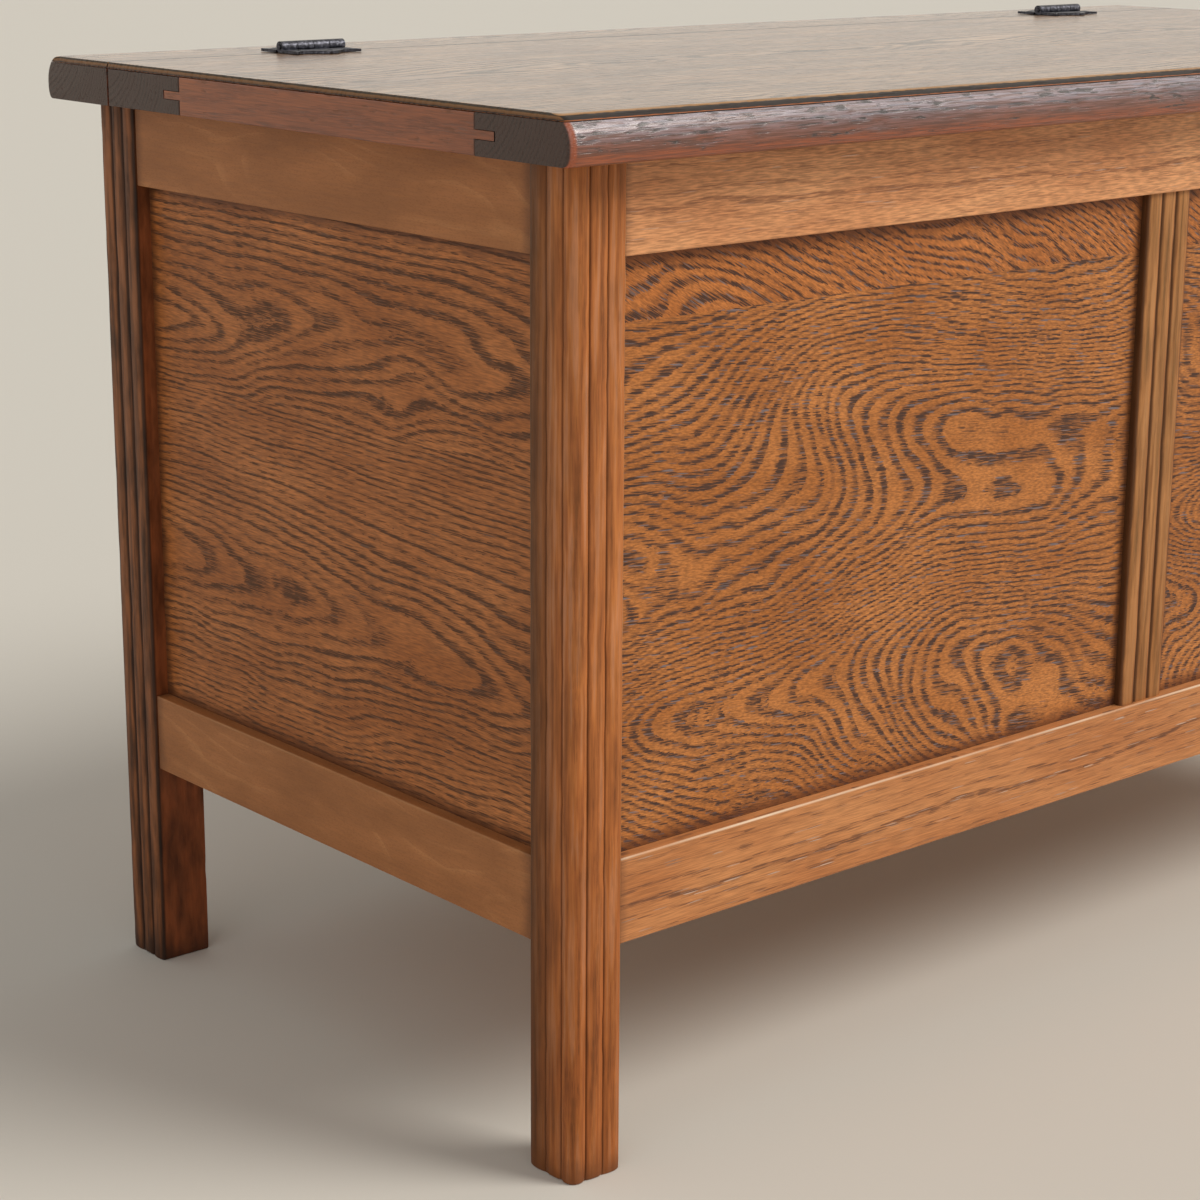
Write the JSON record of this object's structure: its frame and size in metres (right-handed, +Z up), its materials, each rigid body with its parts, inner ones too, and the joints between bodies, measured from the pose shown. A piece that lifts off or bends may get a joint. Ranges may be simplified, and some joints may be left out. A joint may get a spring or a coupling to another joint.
{
  "type": "blanket chest",
  "caption": "Framed and panelled oak blanket chest on post feet, with reeded posts, a round-nosed top and a lid on surface hinges.",
  "frame": {"origin": "on the floor, under the middle of the box round the whole chest", "axes": "+X along the front, to the right as one faces it; +Y from the front to the back; +Z up"},
  "size_m": [0.926, 0.458, 0.5415],
  "materials": {
    "post_oak": "stained and waxed, worn on the reeds",
    "rail_oak": "stained and waxed",
    "panel_oak": "stained and waxed flat-sawn oak",
    "side_beech": "smooth, stained brown",
    "lid_oak": "varnished, red-brown",
    "sheet_ply": "thin oak-faced ply, varnished",
    "back_ply": "bare ply",
    "plain_pine": "bare softwood",
    "black_iron": "black lacquered iron, hammered",
    "bright_steel": "plain steel"
  },
  "bodies": {
    "carcass": {"post_front_left": "post_oak", "post_front_right": "post_oak", "post_rear_left": "post_oak", "post_rear_right": "post_oak", "front_bottom_rail": "rail_oak", "front_top_rail": "rail_oak", "front_muntin": "rail_oak", "back_bottom_rail": "rail_oak", "back_top_rail": "rail_oak", "back_muntin": "rail_oak", "left_bottom_rail": "side_beech", "left_top_rail": "side_beech", "right_bottom_rail": "side_beech", "right_top_rail": "side_beech", "front_panel_left": "panel_oak", "front_panel_right": "panel_oak", "left_panel": "panel_oak", "right_panel": "panel_oak", "back_panel_left": "back_ply", "back_panel_right": "back_ply", "bottom_board": "back_ply", "front_bearer": "plain_pine", "back_bearer": "plain_pine", "left_bearer": "plain_pine", "right_bearer": "plain_pine", "front_bearer_screw_left": "bright_steel", "front_bearer_screw_right": "bright_steel", "back_bearer_screw_left": "bright_steel", "back_bearer_screw_right": "bright_steel", "back_strip": "lid_oak", "back_strip_sheet": "sheet_ply", "strip_dowel_post_left": "plain_pine", "strip_dowel_post_right": "plain_pine", "strip_dowel_rail_left": "plain_pine", "strip_dowel_rail_right": "plain_pine", "hinge_left_rear_leaf": "black_iron", "hinge_right_rear_leaf": "black_iron", "hinge_left_pin": "black_iron", "hinge_right_pin": "black_iron", "hinge_left_rear_screw_left": "black_iron", "hinge_left_rear_screw_middle": "black_iron", "hinge_left_rear_screw_right": "black_iron", "hinge_right_rear_screw_left": "black_iron", "hinge_right_rear_screw_middle": "black_iron", "hinge_right_rear_screw_right": "black_iron"},
    "lid": {"lid_front_stile": "lid_oak", "lid_rear_stile": "lid_oak", "lid_cleat_left": "lid_oak", "lid_cleat_right": "lid_oak", "lid_middle_rail": "plain_pine", "lid_top_sheet": "sheet_ply", "hinge_left_front_leaf": "black_iron", "hinge_right_front_leaf": "black_iron", "hinge_left_front_screw_left": "black_iron", "hinge_left_front_screw_middle": "black_iron", "hinge_left_front_screw_right": "black_iron", "hinge_right_front_screw_left": "black_iron", "hinge_right_front_screw_middle": "black_iron", "hinge_right_front_screw_right": "black_iron"}
  },
  "joints": [
    {"name": "lid_hinge", "type": "hinge", "parent": "carcass", "child": "lid", "pos_m": [0, 0.1625, 0.5383], "axis": [-1, 0, 0], "range_deg": [0, 180]}
  ]
}
